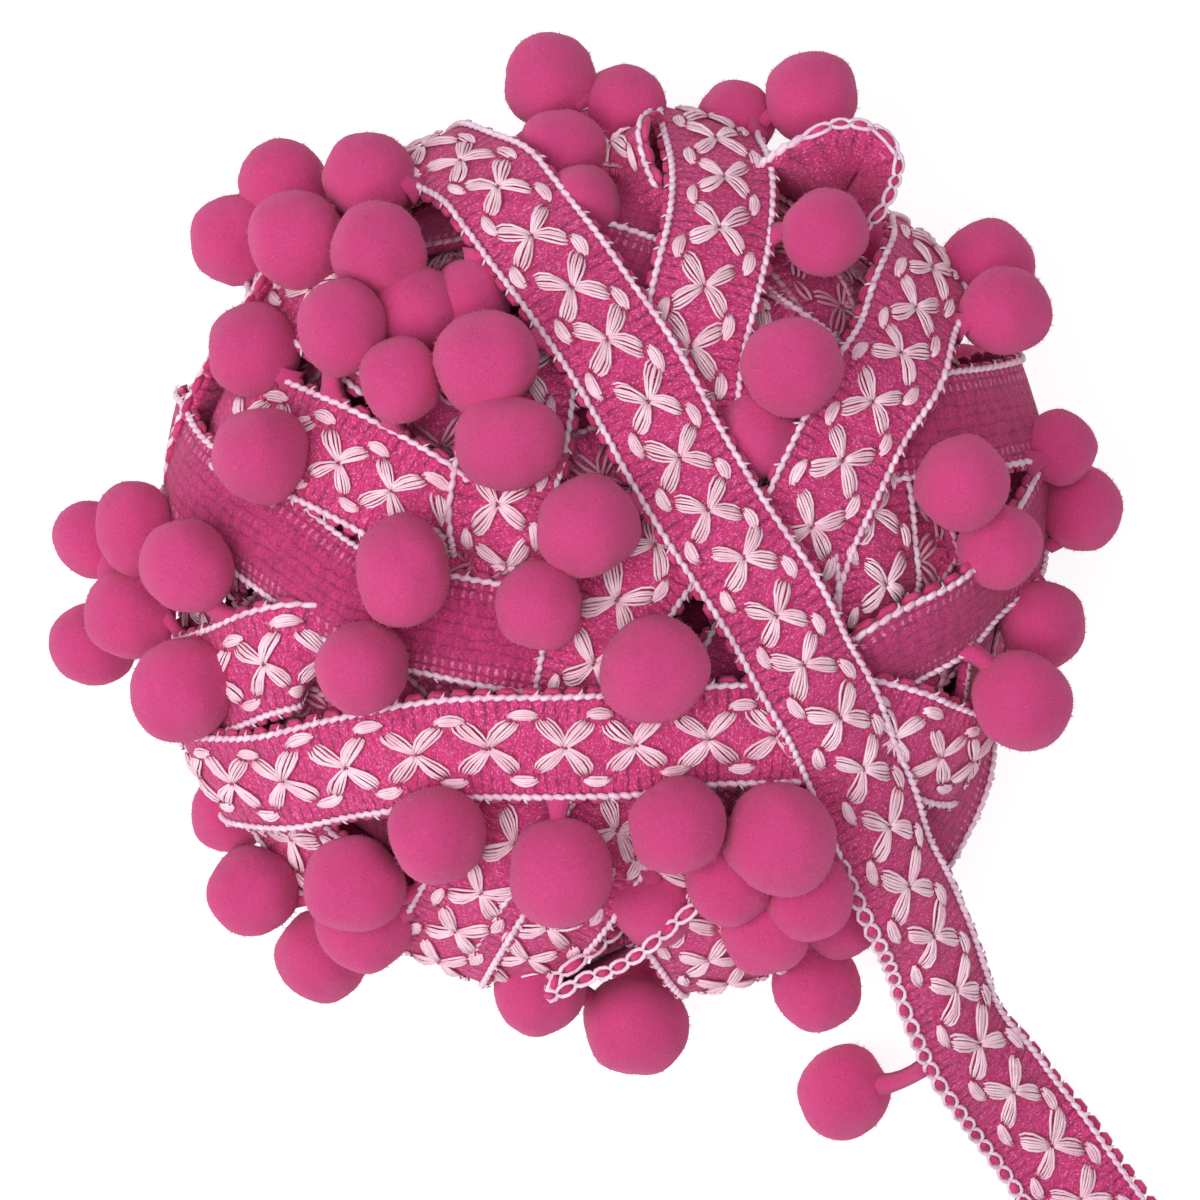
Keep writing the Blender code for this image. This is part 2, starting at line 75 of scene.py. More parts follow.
# Each turn: which face shows, which edge carries pompoms that show (1 left, -1 right, 0 none), and the middle
# of the tape as east, north, up in millimetres, then its lean and curl in degrees where they aren't nought, and
# how free it is of the ball, where it leaves it: 1 where up is straight up instead of out of the ball.
TURNS = {
    "outer_turn": (FRONT, -1, [
        (-20, 37, 4), (-28, 50, 14), (-32, 58, 24), (-27.5, 59.5, 38), (-19, 55, 49), (-15, 50.5, 53.5),
        (-11, 45, 57.5), (-5.5, 37.5, 61.5), (0, 29.5, 64.5), (5, 21, 66), (9, 13.5, 67), (13.5, 6, 67),
        (18.5, -1.5, 66.5), (23, -8.5, 65.5), (27.5, -16.5, 63, 0, 1), (32, -24, 59, 4, 2, 0.2),
        (36, -33, 53.5, 12, 3, 0.6), (41, -44, 46, 20, 3.5, 1), (44.4, -51, 40, 22, 3.5, 1),
        (47.9, -58, 33, 24, 3.5, 1), (50.9, -66, 26, 24, 3, 1), (55.2, -75, 18, 22, 2.5, 1),
        (61, -83, 11, 14, 2, 1), (67, -91, 5.5, 6, 1, 1), (73.3, -100, 2.4, 1, 0.2, 1),
        (80.7, -110, 1.7, 0, 0, 1), (88, -121, 1.7, 0, 0, 1),
    ]),
    "front_turn": (FRONT, -1, [
        (-38, -18, 4), (-52, -24, 14), (-61, -30, 25), (-59.5, -33.5, 36), (-49, -33.5, 46.5),
        (-37.5, -31, 54), (-27.5, -29, 58.5), (-17, -28, 61), (-6.5, -28, 62.5), (3, -27.5, 61.5),
        (13.5, -26.5, 60.5), (24, -26, 58.5), (34, -25.5, 55), (41.5, -27, 50.5), (46.5, -29, 46),
        (51.5, -30.5, 39.5), (54.8, -29.5, 29), (50, -23, 14), (38, -17, 4),
    ]),
    "upright_turn": (FRONT, 1, [
        (8, 41, 4), (11, 56, 14), (14, 64.5, 26), (14.5, 62.5, 38.5), (16, 54.5, 49), (15.5, 46.5, 55),
        (13.5, 38, 59), (11.5, 29.5, 61), (10.5, 21.5, 62), (11, 14, 61.5), (10, 7, 61.5), (6, 0.5, 62.5),
        (2, -5.5, 62.8), (-1.5, -12.5, 61.5), (-3.5, -20, 58), (-5, -28, 53),
    ]),
    "right_turn": (FRONT, 1, [
        (34, 24, 4), (46, 36, 14), (49.5, 44, 26), (47, 45, 35), (46.5, 41.5, 42.5), (44, 35.5, 49.5),
        (41.5, 28.5, 54), (37, 21.5, 58), (32.5, 13, 60.5), (28.5, 4.5, 61.5), (25.5, -3.5, 60.5),
        (22, -12, 58), (18, -20, 54),
    ]),
    "slanted_turn": (BACK, 1, [
        (-40, 14, 4), (-55, 17, 14), (-65.5, 17, 24), (-65, 14, 35, 0, 1), (-62, 9.5, 42, 0, 2),
        (-56, 5, 47.5, 0, 3), (-49.5, 1, 51.5, 0, 3.5), (-40.5, -5.5, 56, 0, 3), (-32.5, -9, 58, 0, 2),
        (-24.5, -10.8, 59, 0, 1), (-13, -12.7, 59), (-3, -14.5, 57.5), (7, -16, 53),
    ]),
    "left_turn": (FRONT, 1, [
        (-58, 22, 38), (-54.5, 19, 46), (-49.5, 17.5, 51), (-45, 15.5, 55), (-39.5, 13, 58), (-32, 9, 60.5),
        (-26.5, 5.5, 61), (-22, 1, 58), (-18, -4, 53),
    ]),
    "low_left_turn": (FRONT, 1, [
        (-40, -10, 4), (-54, -15, 14), (-62, -19, 26), (-61.5, -20, 36), (-57, -18.5, 45), (-50.5, -16, 51),
        (-45, -15, 53, 0, 1), (-39.5, -15.5, 50.5, 0, 2), (-35, -17, 45, 0, 2), (-32, -19, 38, 0, 2),
    ]),
    "centre_turn": (FRONT, 1, [
        (-12, 34, 53), (-12.5, 26, 59), (-13.8, 16, 62.5), (-15.9, 6.4, 63.5), (-15.5, 0.8, 62),
        (-15.2, -2.5, 58), (-15, -5, 51),
    ]),
    "far_left_turn": (FRONT, 1, [
        (-30, 29, 4), (-41, 40, 14), (-48, 46, 26), (-48, 43, 38), (-43.5, 38, 47), (-37, 33, 52.5),
        (-28, 26, 56),
    ]),
    "right_high_turn": (BACK, -1, [
        (36, 17, 52), (43, 18, 51.5), (49, 18.5, 48), (57, 20, 41.5), (63, 21.5, 32), (61, 23, 22),
        (53, 21, 12), (38, 15, 4),
    ]),
    "right_back_turn": (BACK, -1, [
        (26, -26, 50), (34, -20, 53, -10, 1), (41.5, -15, 54, -22, 1), (50.5, -10, 51, -22, 1),
        (57, -4, 44.5, -15, 1), (63, 4, 35), (65, 10, 25), (57, 9, 13), (42, 4, 4),
    ]),
    "right_under_turn": (FRONT, 1, [
        (32, 18, 52), (35.5, 11, 55), (37.5, 5, 56.5, 5, 1.5), (38.8, -1, 56.5, 10, 2.5),
        (39, -6, 55.5, 10, 2.5), (38.3, -11, 52, 8, 2), (36.5, -16, 47),
    ]),
    "shaded_turn": (FRONT, 1, [
        (10, 42, 48), (17.7, 33.4, 54.5), (23.2, 29.1, 56), (28.7, 25.1, 55.5), (36, 20, 51),
    ]),
    "bottom_west_turn": (FRONT, -1, [
        (-10, -34, 54), (-15, -43.5, 53), (-20, -50.5, 48), (-24, -57.5, 39), (-26, -61, 28), (-22, -53, 12),
        (-16, -38, 4),
    ]),
    "bottom_middle_turn": (FRONT, 1, [
        (4, -34, 55), (-1.5, -43, 54), (-9, -54, 47), (-13.5, -61, 36), (-15, -63.5, 26), (-13, -55, 12),
        (-10, -40, 4),
    ]),
    "bottom_east_turn": (FRONT, 1, [
        (2, -38, 53), (6, -46, 51.5), (11.5, -55, 46.5), (15.5, -61, 38), (18.5, -64, 27), (17, -56, 12),
        (12, -40, 4),
    ]),
    "top_turn": (FRONT, -1, [
        (0.8, 61, 32, -10, 0, 1), (0.6, 61.5, 36, -20, 0, 1), (0.2, 60.5, 39.5, -38, 0, 1),
        (0.4, 58, 41.8, -52, 0, 1), (2, 52.5, 42.8, -55, 0, 1), (4.6, 45, 43.6, -50, 0, 1),
    ]),
    "top_cross_turn": (BACK, -1, [
        (-14, 44, 49), (-6, 42, 53.5), (-0.5, 40.5, 55), (4, 39, 55.5), (10, 37, 54.5), (18, 33, 51),
    ]),
    "west_rim_turn": (FRONT, -1, [
        (-60, 10, 22, 20), (-63, -3, 27, 30), (-61, -14, 30, 35), (-57, -25, 32, 35), (-51, -37, 33, 38),
        (-43.5, -46, 34, 38), (-35, -50.5, 35, 38), (-26.5, -54.5, 34, 38), (-18, -57, 30, 35),
    ]),
    "east_rim_turn": (BACK, 1, [
        (22, -60, 30, 35), (30, -56.5, 32, 38), (38, -51.5, 33, 38), (45.5, -45, 33.5, 38),
        (50.5, -37.5, 33, 38), (54, -28, 31, 38), (56, -18, 28, 35), (58, -8, 28, 30), (58, 3, 26, 25),
    ]),
    "north_rim_turn": (FRONT, 0, [
        (-60, 8, 22, 20), (-60.5, 16, 28, 28), (-57, 24, 32, 33), (-51.5, 34, 34, 36), (-44, 43, 34, 36),
        (-34, 50, 28, 28),
    ]),
    "back_loop": (FRONT, 0, [
        (13, 46, 22, 125, 0, 1), (18.5, 50, 26, 128, 0, 1), (22.5, 52.2, 30, 130, 0, 1),
        (25.8, 53.6, 34.5, 130, 0, 1), (28, 54.6, 40.8, 130, 0, 1), (30.5, 55.9, 43.6, 130, 0, 1),
        (33.6, 57.2, 43.6, 126, 0, 1), (36.9, 57, 43.2, 120, 0, 1), (37.9, 54.6, 42.8, 115, 0, 1),
        (36.9, 51, 42.8, 114, 0, 1), (34.6, 47.8, 42, 108, 0, 1), (31, 42, 40, 100, 0, 1),
    ]),
    "front_loop": (BACK, 0, [
        (14, -43, 24, -90, 0, 1), (6, -49.4, 29, -90, 0, 1), (-1.3, -55.6, 33.5, -90, 0, 1),
        (-6, -59.8, 35.5, -90, 0, 1), (-8.8, -62.4, 36, -90, 0, 1), (-7.6, -64.3, 36, -90, 0, 1),
        (-2.5, -62.2, 38, -90, 0, 1), (2.7, -59.6, 40, -90, 0, 1), (12.7, -52, 45, -90, 0, 1),
        (20, -46, 47, -90, 0, 1),
    ]),
}


def unit(ways):
    """The directions, each made one long."""
    return ways / np.linalg.norm(ways, axis=1, keepdims=True)


def trim_run(rows):
    """Evenly spaced places on a Catmull-Rom curve along a turn, and the tape's directions and curl there.

    The directions are ahead along it, across to its left and out through it.
    """
    rows = np.array([(*row, 0, 0, 0)[:6] for row in rows], float)
    knots = np.vstack([2 * rows[0] - rows[1], rows, 2 * rows[-1] - rows[-2]])
    share = np.linspace(0, 1, CURVE_STEPS, endpoint=False)[:, None]
    curve = [
        0.5 * (2 * b + (c - a) * share + (2 * a - 5 * b + 4 * c - d) * share**2
               + (3 * b - a - 3 * c + d) * share**3)
        for a, b, c, d in zip(knots, knots[1:], knots[2:], knots[3:])
    ]
    curve = np.vstack([*curve, knots[-2:-1]])
    length = np.r_[0, np.cumsum(np.linalg.norm(np.diff(curve[:, :3], axis=0), axis=1))]
    along = np.arange(0, length[-1], SPACING)
    rows = np.stack([np.interp(along, length, column) for column in curve.T], axis=1)
    place = rows[:, :3]
    ahead = unit(np.gradient(place, axis=0))
    out = place / (BALL_RADIUS**2, BALL_RADIUS**2, BALL_HALF_HEIGHT**2)
    out[:, 2] -= BALL_MIDDLE / BALL_HALF_HEIGHT**2
    free = rows[:, 5:6]
    out = unit(out) * (1 - free) + np.array((0, 0, 1)) * free
    out = unit(out - ahead * (out * ahead).sum(axis=1, keepdims=True))
    across = np.cross(out, ahead)
    lean = np.radians(rows[:, 3:4])
    out, across = out * np.cos(lean) + across * np.sin(lean), across * np.cos(lean) - out * np.sin(lean)
    curl = np.radians(rows[:, 4] + BALL_CURL * (1 - rows[:, 5]))
    return {"place": place, "ahead": ahead, "across": across, "out": out, "curl": curl, "length": along[-1]}


def follow(run, flat, phase):
    """Takes flat places (along, across, up) in millimetres to where the tape of the turn has them.

    The tape curls across its width, and its edges flute and wave a little along it.
    """
    u, v, w = flat.T
    at = np.clip(u / SPACING, 0, len(run["place"]) - 1.001)
    low = at.astype(int)
    share = (at - low)[:, None]
    place, ahead, across, out = (
        run[key][low] * (1 - share) + run[key][low + 1] * share for key in ("place", "ahead", "across", "out")
    )
    place = place + ahead * (u - at * SPACING)[:, None]
    curl = run["curl"][low] + LEAST_CURL
    edge = v / (RIBBON_WIDTH / 2)
    w = (w + FLUTE * edge**2 * np.sin(u / FLUTE_LENGTH + phase)
         + WAVE * edge * np.sin(u / WAVE_LENGTH + 2 * phase))
    turned = curl * v
    sideways = np.sin(turned) / curl + np.sin(turned) * w
    outward = np.cos(turned) * w - (1 - np.cos(turned)) / curl
    return (place + across * sideways[:, None] + out * outward[:, None]) * MM


def lay_along(mesh, run, phase):
    """Bends a flat mesh along a turn."""
    flat = np.empty(len(mesh.vertices) * 3, np.float32)
    mesh.vertices.foreach_get("co", flat)
    placed = follow(run, flat.reshape(-1, 3).astype(float), phase)
    mesh.vertices.foreach_set("co", placed.astype(np.float32).ravel())
    mesh.update()


def add_piece(name, mesh, slot, nodes, *materials):
    """Puts a finished mesh in the scene as a piece that rides on the one body and stands for CAD nodes."""
    for material in materials:
        mesh.materials.append(material)
    mesh.shade_smooth()
    piece = bpy.data.objects.new(name, mesh)
    scene.collection.objects.link(piece)
    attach(piece, "root")
    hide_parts(*nodes)
    return piece


def finished_mesh(shape, name):
    """The mesh of a shape that is done with."""
    mesh = bpy.data.meshes.new(name)
    shape.to_mesh(mesh)
    shape.free()
    return mesh


def flat_tape(length, step, across_count):
    """A flat length of ribbon with its lengths in millimetres on its UV map."""
    shape = bmesh.new()
    bmesh.ops.create_grid(shape, x_segments=round(length / step), y_segments=across_count, size=0.5)
    bmesh.ops.scale(shape, vec=(length, RIBBON_WIDTH - 2 * LOOP_REACH, 1), verts=shape.verts)
    bmesh.ops.translate(shape, vec=(length / 2, 0, 0), verts=shape.verts)
    lower = bmesh.ops.extrude_face_region(shape, geom=shape.faces[:])["geom"]
    lower = [item for item in lower if isinstance(item, bmesh.types.BMVert)]
    bmesh.ops.translate(shape, vec=(0, 0, -RIBBON_THICKNESS), verts=lower)
    bmesh.ops.recalc_face_normals(shape, faces=shape.faces)
    lengths = shape.loops.layers.uv.new("lengths")
    for face in shape.faces:
        for corner in face.loops:
            corner[lengths].uv = corner.vert.co.xy
    return finished_mesh(shape, "tape")


def add_node(tree, kind, **values):
    """A shader node with its properties, and its inputs by name, or by number as _0, set or joined."""
    node = tree.nodes.new("ShaderNode" + kind)
    for key, value in values.items():
        if hasattr(node, key) and key not in node.inputs:
            setattr(node, key, value)
            continue
        socket = node.inputs[int(key[1:])] if key[0] == "_" and key[1:].isdigit() else node.inputs[key]
        if isinstance(value, bpy.types.NodeSocket):
            tree.links.new(value, socket)
        else:
            socket.default_value = value
    return node


# The knit's repeats, and where its ribs and bright stitches fade in from the middle, in millimetres.
RIB_STEP = 1.65
RIB_FADE = (1.8, 5.0)
STITCH_STEP = 0.95
ROW_STEP = 1.7
DASH_STEP = 1.3
DASH_ROW_STEP = 1.5
DASH_FADE = (3.6, 4.8)
CELL_COUNTS = (3.9, 1.9, 1.0)


def knit_group(name, back):
    """Knitted ground of the tape from its flat lengths: height of its stitches, bright marks, and a tone with
    painted shade in its hollows and folds.

    The face is ribbed across near its edges, and its bright marks are painted glints. The back has rows of
    stitches along it, and its bright marks are short pale stitches beside its edges.
    """
    group = bpy.data.node_groups.new(name, "ShaderNodeTree")
    group.interface.new_socket("Lengths", in_out="INPUT", socket_type="NodeSocketVector")
    for output in ("Height", "GlintsAndStitches", "ToneWithShade"):
        group.interface.new_socket(output, in_out="OUTPUT", socket_type="NodeSocketFloat")
    start, end = group.nodes.new("NodeGroupInput"), group.nodes.new("NodeGroupOutput")
    flat = start.outputs["Lengths"]

    def maths(operation, *values):
        return add_node(group, "Math", operation=operation,
                        **{f"_{i}": value for i, value in enumerate(values)}).outputs[0]

    def spread(value, low, high, to_low=0.0, to_high=1.0):
        return add_node(group, "MapRange", Value=value, **{
            "From Min": low, "From Max": high, "To Min": to_low, "To Max": to_high}).outputs[0]

    def patches(scale, stretch=(1.0, 1.0, 1.0), turn=0.0, detail=2.0, roughness=0.6):
        lie = add_node(group, "Mapping", Vector=flat, Rotation=(0, 0, turn), Scale=stretch)
        return add_node(group, "TexNoise", Vector=lie.outputs[0], Scale=scale, Detail=detail,
                        Roughness=roughness).outputs["Fac"]

    lengths = add_node(group, "SeparateXYZ", Vector=flat)
    along = maths("MULTIPLY_ADD", patches(0.35), 1.6, lengths.outputs["X"])
    side = maths("ABSOLUTE", lengths.outputs["Y"])
    grain = patches(4.0, (1.0, 1.0 if back else 0.5, 1.0), 0.1, 3.0, 0.7)
    gate = spread(patches(0.9), 0.35, 0.6, 0.25, 1.0)
    if back:
        across = maths("MULTIPLY_ADD", patches(0.5), 1.8, lengths.outputs["Y"])
        row = maths("PINGPONG", across, ROW_STEP / 2)
        phase = maths("MULTIPLY", maths("MULTIPLY_ADD", row, 1.1, along), 2 * math.pi / STITCH_STEP)
        stitches = spread(maths("SINE", phase), -1.0, 0.6, 0.55, 0.0)
        groove = maths("MAXIMUM", spread(row, 0.42, 0.0), stitches)
        groove = maths("MULTIPLY", groove, gate)
        dash = spread(maths("PINGPONG", along, DASH_STEP / 2), 0.30, 0.15)
        dash = maths("MULTIPLY", dash, spread(maths("PINGPONG", side, DASH_ROW_STEP / 2), 0.15, 0.3))
        glints_and_stitches = maths("MULTIPLY", dash, spread(side, *DASH_FADE, 0.0, 0.8))
        glints_and_stitches = maths("MULTIPLY", glints_and_stitches, gate)
    else:
        columns = maths("SINE", maths("MULTIPLY", along, 2 * math.pi / RIB_STEP))
        groove = maths("MULTIPLY", spread(columns, -0.45, -1.0), spread(side, *RIB_FADE, 0.15, 1.0))
        groove = maths("MULTIPLY", groove, gate)
        # Painted glints: small bright flecks in cells across the face, for light catching the yarn.
        cells = add_node(group, "Mapping", Vector=flat, Rotation=(0, 0, 0.15), Scale=CELL_COUNTS)
        cells = add_node(group, "TexVoronoi", Vector=cells.outputs[0], Scale=1.0)
        glints_and_stitches = spread(cells.outputs["Distance"], 0.46, 0.12)
        glints_and_stitches = maths("MULTIPLY", glints_and_stitches, spread(patches(1.6), 0.36, 0.58))
    height = maths("SUBTRACT", grain, maths("MULTIPLY", groove, 0.8))
    # Painted shade: the tone darkens along long soft folds, and in the grooves of the ribs and stitch rows; it
    # also varies with the grain.
    fold_shade = spread(patches(0.8, (0.9, 0.22, 1.0), -0.5, 3.0, 0.65), 0.36, 0.56, 0.80, 1.04)
    tone = maths("MULTIPLY", fold_shade, spread(grain, 0.32, 0.66, 0.66, 1.36))
    tone = maths("MULTIPLY", tone, maths("SUBTRACT", 1.0, maths("MULTIPLY", groove, 0.5)))
    group.links.new(height, end.inputs["Height"])
    group.links.new(glints_and_stitches, end.inputs["GlintsAndStitches"])
    group.links.new(tone, end.inputs["ToneWithShade"])
    return group


FACE_KNIT = knit_group("knitted_face", False)
BACK_KNIT = knit_group("knitted_back", True)


def knitted_material(name, group, colour, glint_and_stitch_colour, depth):
    material = bpy.data.materials.new(name)
    material.use_nodes = True
    tree = material.node_tree
    shader = tree.nodes["Principled BSDF"]
    shader.inputs["Roughness"].default_value = 0.75
    shader.inputs["Specular IOR Level"].default_value = 0.25
    shader.inputs["Sheen Weight"].default_value = 0.2
    shader.inputs["Sheen Roughness"].default_value = 0.5
    shader.inputs["Sheen Tint"].default_value = (1.0, 0.55, 0.75, 1.0)
    lengths = add_node(tree, "UVMap", uv_map="lengths")
    knit = tree.nodes.new("ShaderNodeGroup")
    knit.node_tree = group
    tree.links.new(lengths.outputs[0], knit.inputs["Lengths"])
    # The bright marks are painted glints on the face and pale stitches on the back; the tone carries painted
    # shade.
    shaded = add_node(tree, "MixRGB", blend_type="MIX", Fac=knit.outputs["GlintsAndStitches"], Color1=colour,
                      Color2=glint_and_stitch_colour)
    tone = add_node(tree, "MixRGB", blend_type="MULTIPLY", Fac=1.0, Color1=shaded.outputs[0],
                    Color2=knit.outputs["ToneWithShade"])
    bump = add_node(tree, "Bump", Height=knit.outputs["Height"], Strength=0.65, Distance=depth * MM)
    tree.links.new(tone.outputs[0], shader.inputs["Base Color"])
    tree.links.new(bump.outputs[0], shader.inputs["Normal"])
    return material


STITCH_DEPTH = 0.5
# The colour of the bright marks: painted glints on the face, and pale stitches on the back.
GLINT_AND_STITCH_COLOUR = (0.98, 0.30, 0.52, 1)
face_knit = knitted_material("ribbon_face", FACE_KNIT, (0.62, 0.044, 0.198, 1), GLINT_AND_STITCH_COLOUR, STITCH_DEPTH)
back_knit = knitted_material("ribbon_back", BACK_KNIT, (0.60, 0.044, 0.195, 1), GLINT_AND_STITCH_COLOUR, STITCH_DEPTH)

runs = {}
for number, (name, (face, _, rows)) in enumerate(TURNS.items()):
    run = runs[name] = trim_run(rows)
    tape = flat_tape(run["length"], TAPE_STEP, TAPE_CELLS)
    lay_along(tape, run, number)
    nodes = ["wound_ball", "running_end"] if name == "outer_turn" else ["wound_ball"]
    ribbon = add_piece(name + "_ribbon", tape, "ribbon", nodes, face_knit if face == FRONT else back_knit)

# The edges of the tape: a pale chained thread just inside each edge, with a hook of it over every stitch, and
# the ground's own loops standing out beyond it as small scallops. Where a length of tape stands on edge, the
# chain runs along its very edge, or as links round those loops.
EDGE_PITCH = 3.15
CHAIN_LINE = 7.4
EDGE_LINE = 8.2
EDGE_MIDDLE = -RIBBON_THICKNESS / 2
SIDES = 5
# The outer turn's stitches before its loose end, where the loops of one edge lie open, and the back loop's
# stitches that are plain chain. The back loop's are all drawn up, because they lie on its long outer edge.
COVERED_COUNT = 29
DOUBLED_COUNT = 9
LOOP_DRAWN_UP = 0.55
# Single stitches in millimetres: the places along, across and up that each thread passes, and its radii there.
BEAD = ((-0.2, -0.16, 0.1), (0.3, -0.12, 0.38), (1.15, 0.12, 0.4), (1.7, 0.16, 0.1))
BEAD_RADII = (0.2, 0.48, 0.48, 0.2)
HOOK = ((1.2, 7.6, 0.5), (1.7, 8.2, 0.6), (1.8, 8.6, 0.2))
HOOK_RADII = (0.22, 0.18, 0.1)
SCALLOP = ((0.35, -0.4, -0.5), (0.95, 0, -0.45), (2.2, 0, -0.45), (2.8, -0.4, -0.5))
FLAT_LINKS = (((-0.2, 7.7), (0.6, 7.0), (1.6, 6.75), (2.6, 7.0), (3.3, 7.7)),
              ((-0.2, 7.6), (0.5, 8.4), (1.6, 8.8), (2.65, 8.4), (3.3, 7.6)))
FLAT_LINK_RADII = (0.3, 0.34, 0.26, 0.34, 0.3)
EDGE_LINK = ((-0.2, 0.1), (0.6, 0.68), (1.6, 0.86), (2.6, 0.68), (3.35, 0.1))
EDGE_LINK_RADII = (0.3, 0.32, 0.28, 0.32, 0.3)
EDGE_BEAD = ((-0.2, -0.3), (0.3, -0.25), (1.15, 0.25), (1.7, 0.3))
EDGE_BEAD_RADII = (0.2, 0.6, 0.6, 0.2)


def start_thread(shape, middle, radius, sides):
    """The first ring of corners of a thread that sets out along the tape."""
    ring = bmesh.ops.create_circle(shape, segments=sides, radius=radius)["verts"]
    bmesh.ops.rotate(shape, cent=(0, 0, 0), matrix=Matrix.Rotation(math.pi / 2, 3, "Y"), verts=ring)
    bmesh.ops.translate(shape, vec=middle, verts=ring)
    return ring


def thread(shape, points, radii, sides):
    """A thread through the points: one ring of corners, extruded from each point to the next."""
    points = [Vector(point) for point in points]
    ways = [(b - a).normalized() for a, b in zip([points[0], *points], [*points[1:], points[-1]])]
    ring = start_thread(shape, points[0], radii[0], sides)
    first = Vector((1, 0, 0)).rotation_difference(ways[0]).to_matrix()
    bmesh.ops.rotate(shape, cent=points[0], matrix=first, verts=ring)
    edges = list({edge for vert in ring for edge in vert.link_edges})
    made = [ring]
    for a, b, before, way, r0, r1 in zip(points, points[1:], ways, ways[1:], radii, radii[1:]):
        grown = bmesh.ops.extrude_edge_only(shape, edges=edges)["geom"]
        ring = [item for item in grown if isinstance(item, bmesh.types.BMVert)]
        edges = [item for item in grown if isinstance(item, bmesh.types.BMEdge)
                 and all(vert in ring for vert in item.verts)]
        bmesh.ops.translate(shape, vec=b - a, verts=ring)
        turn = before.rotation_difference(way).to_matrix()
        bmesh.ops.rotate(shape, cent=b, matrix=turn, verts=ring)
        bmesh.ops.scale(shape, vec=(r1 / r0,) * 3, verts=ring, space=Matrix.Translation(-b))
        made.append(ring)
    return [vert for ring in made for vert in ring]


def close_threads(shape, name):
    """Closes the ends of the threads and gives back their mesh."""
    bmesh.ops.holes_fill(shape, edges=[edge for edge in shape.edges if edge.is_boundary], sides=0)
    bmesh.ops.recalc_face_normals(shape, faces=shape.faces)
    return finished_mesh(shape, name)


def mark(shape, verts, index):
    """Gives the faces between these corners a material index."""
    for face in {face for vert in verts for face in vert.link_faces}:
        face.material_index = index


def chain_beads(shape, side, sides):
    """Four slanted beads of the pale chain on the face of the tape, and a hook of it."""
    for i in range(4):
        bead = [(i * EDGE_PITCH / 2 + x, side * (CHAIN_LINE + y), z) for x, y, z in BEAD]
        thread(shape, bead, BEAD_RADII, sides)
    thread(shape, [(x + side, side * y, z) for x, y, z in HOOK], HOOK_RADII, 3)


def ground_loops(shape, side, reach, radius):
    """Two of the ground's own loops, each a thick bead that stands out beyond the chain."""
    for start in (0, EDGE_PITCH):
        loop = [(start + x, side * (reach + y), z) for x, y, z in SCALLOP]
        mark(shape, thread(shape, loop, [radius * 0.55, radius, radius, radius * 0.55], SIDES), 1)


def linked_loops(shape, side):
    """Two of the ground's loops where the edge lies open: each a bead with pale thread round it."""
    for start in (0, EDGE_PITCH):
        for link in FLAT_LINKS:
            thread(shape, [(start + x, side * y, 0.35) for x, y in link], FLAT_LINK_RADII, SIDES)
        bead = [(start + x, side * 7.75, 0.1) for x in (0.6, 1.2, 2.0, 2.6)]
        mark(shape, thread(shape, bead, [0.35, 0.72, 0.72, 0.35], 6), 1)


def edge_links(shape, side):
    """Two of the ground's loops seen on the tape's very edge, each a bead in a round link of pale thread."""
    for start in (0, EDGE_PITCH):
        for way in (1, -1):
            link = [(start + x, side * EDGE_LINE, way * z + EDGE_MIDDLE) for x, z in EDGE_LINK]
            thread(shape, link, EDGE_LINK_RADII, SIDES)
        bead = [(start + x, side * 8.05, EDGE_MIDDLE) for x in (0.65, 1.2, 2.0, 2.55)]
        mark(shape, thread(shape, bead, [0.3, 0.62, 0.62, 0.3], 6), 1)


def edge_chain(shape, side):
    """Four slanted beads of the pale chain along the tape's very edge."""
    for i in range(4):
        bead = [(i * EDGE_PITCH / 2 + x, side * 8.15, z + EDGE_MIDDLE) for x, z in EDGE_BEAD]
        thread(shape, bead, EDGE_BEAD_RADII, SIDES)


def repeat(mesh, count, step):
    """The mesh repeated along the tape, as one mesh."""
    holder = bpy.data.objects.new("repeat", mesh)
    scene.collection.objects.link(holder)
    array = holder.modifiers.new("repeat", "ARRAY")
    array.use_relative_offset = False
    array.use_constant_offset = True
    array.constant_offset_displace = (step, 0, 0)
    array.count = count
    bpy.context.view_layer.update()
    row = bpy.data.meshes.new_from_object(holder.evaluated_get(bpy.context.evaluated_depsgraph_get()))
    bpy.data.objects.remove(holder)
    return row


def thread_material(name, colour, dark_colour, scale):
    material = bpy.data.materials.new(name)
    material.use_nodes = True
    tree = material.node_tree
    shader = tree.nodes["Principled BSDF"]
    shader.inputs["Roughness"].default_value = 0.6
    shader.inputs["Specular IOR Level"].default_value = 0.3
    shader.inputs["Sheen Weight"].default_value = 0.2
    places = add_node(tree, "TexCoord")
    patches = add_node(tree, "TexNoise", Vector=places.outputs["Object"], Scale=scale, Detail=2.0)
    fibres = add_node(tree, "TexNoise", Vector=places.outputs["Object"], Scale=scale * 8, Detail=2.0)
    tone = add_node(tree, "MapRange", Value=patches.outputs["Fac"], **{"From Min": 0.35, "From Max": 0.65})
    mixed = add_node(tree, "MixRGB", Fac=tone.outputs[0], Color1=dark_colour, Color2=colour)
    bump = add_node(tree, "Bump", Height=fibres.outputs["Fac"], Strength=0.5, Distance=0.1 * MM)
    tree.links.new(mixed.outputs[0], shader.inputs["Base Color"])
    tree.links.new(bump.outputs[0], shader.inputs["Normal"])
    return material


chain_thread = thread_material("chain_thread", (0.95, 0.72, 0.86, 1), (0.80, 0.50, 0.66, 1), 500.0)
loop_thread = thread_material("loop_thread", (0.66, 0.05, 0.20, 1), (0.45, 0.02, 0.11, 1), 400.0)

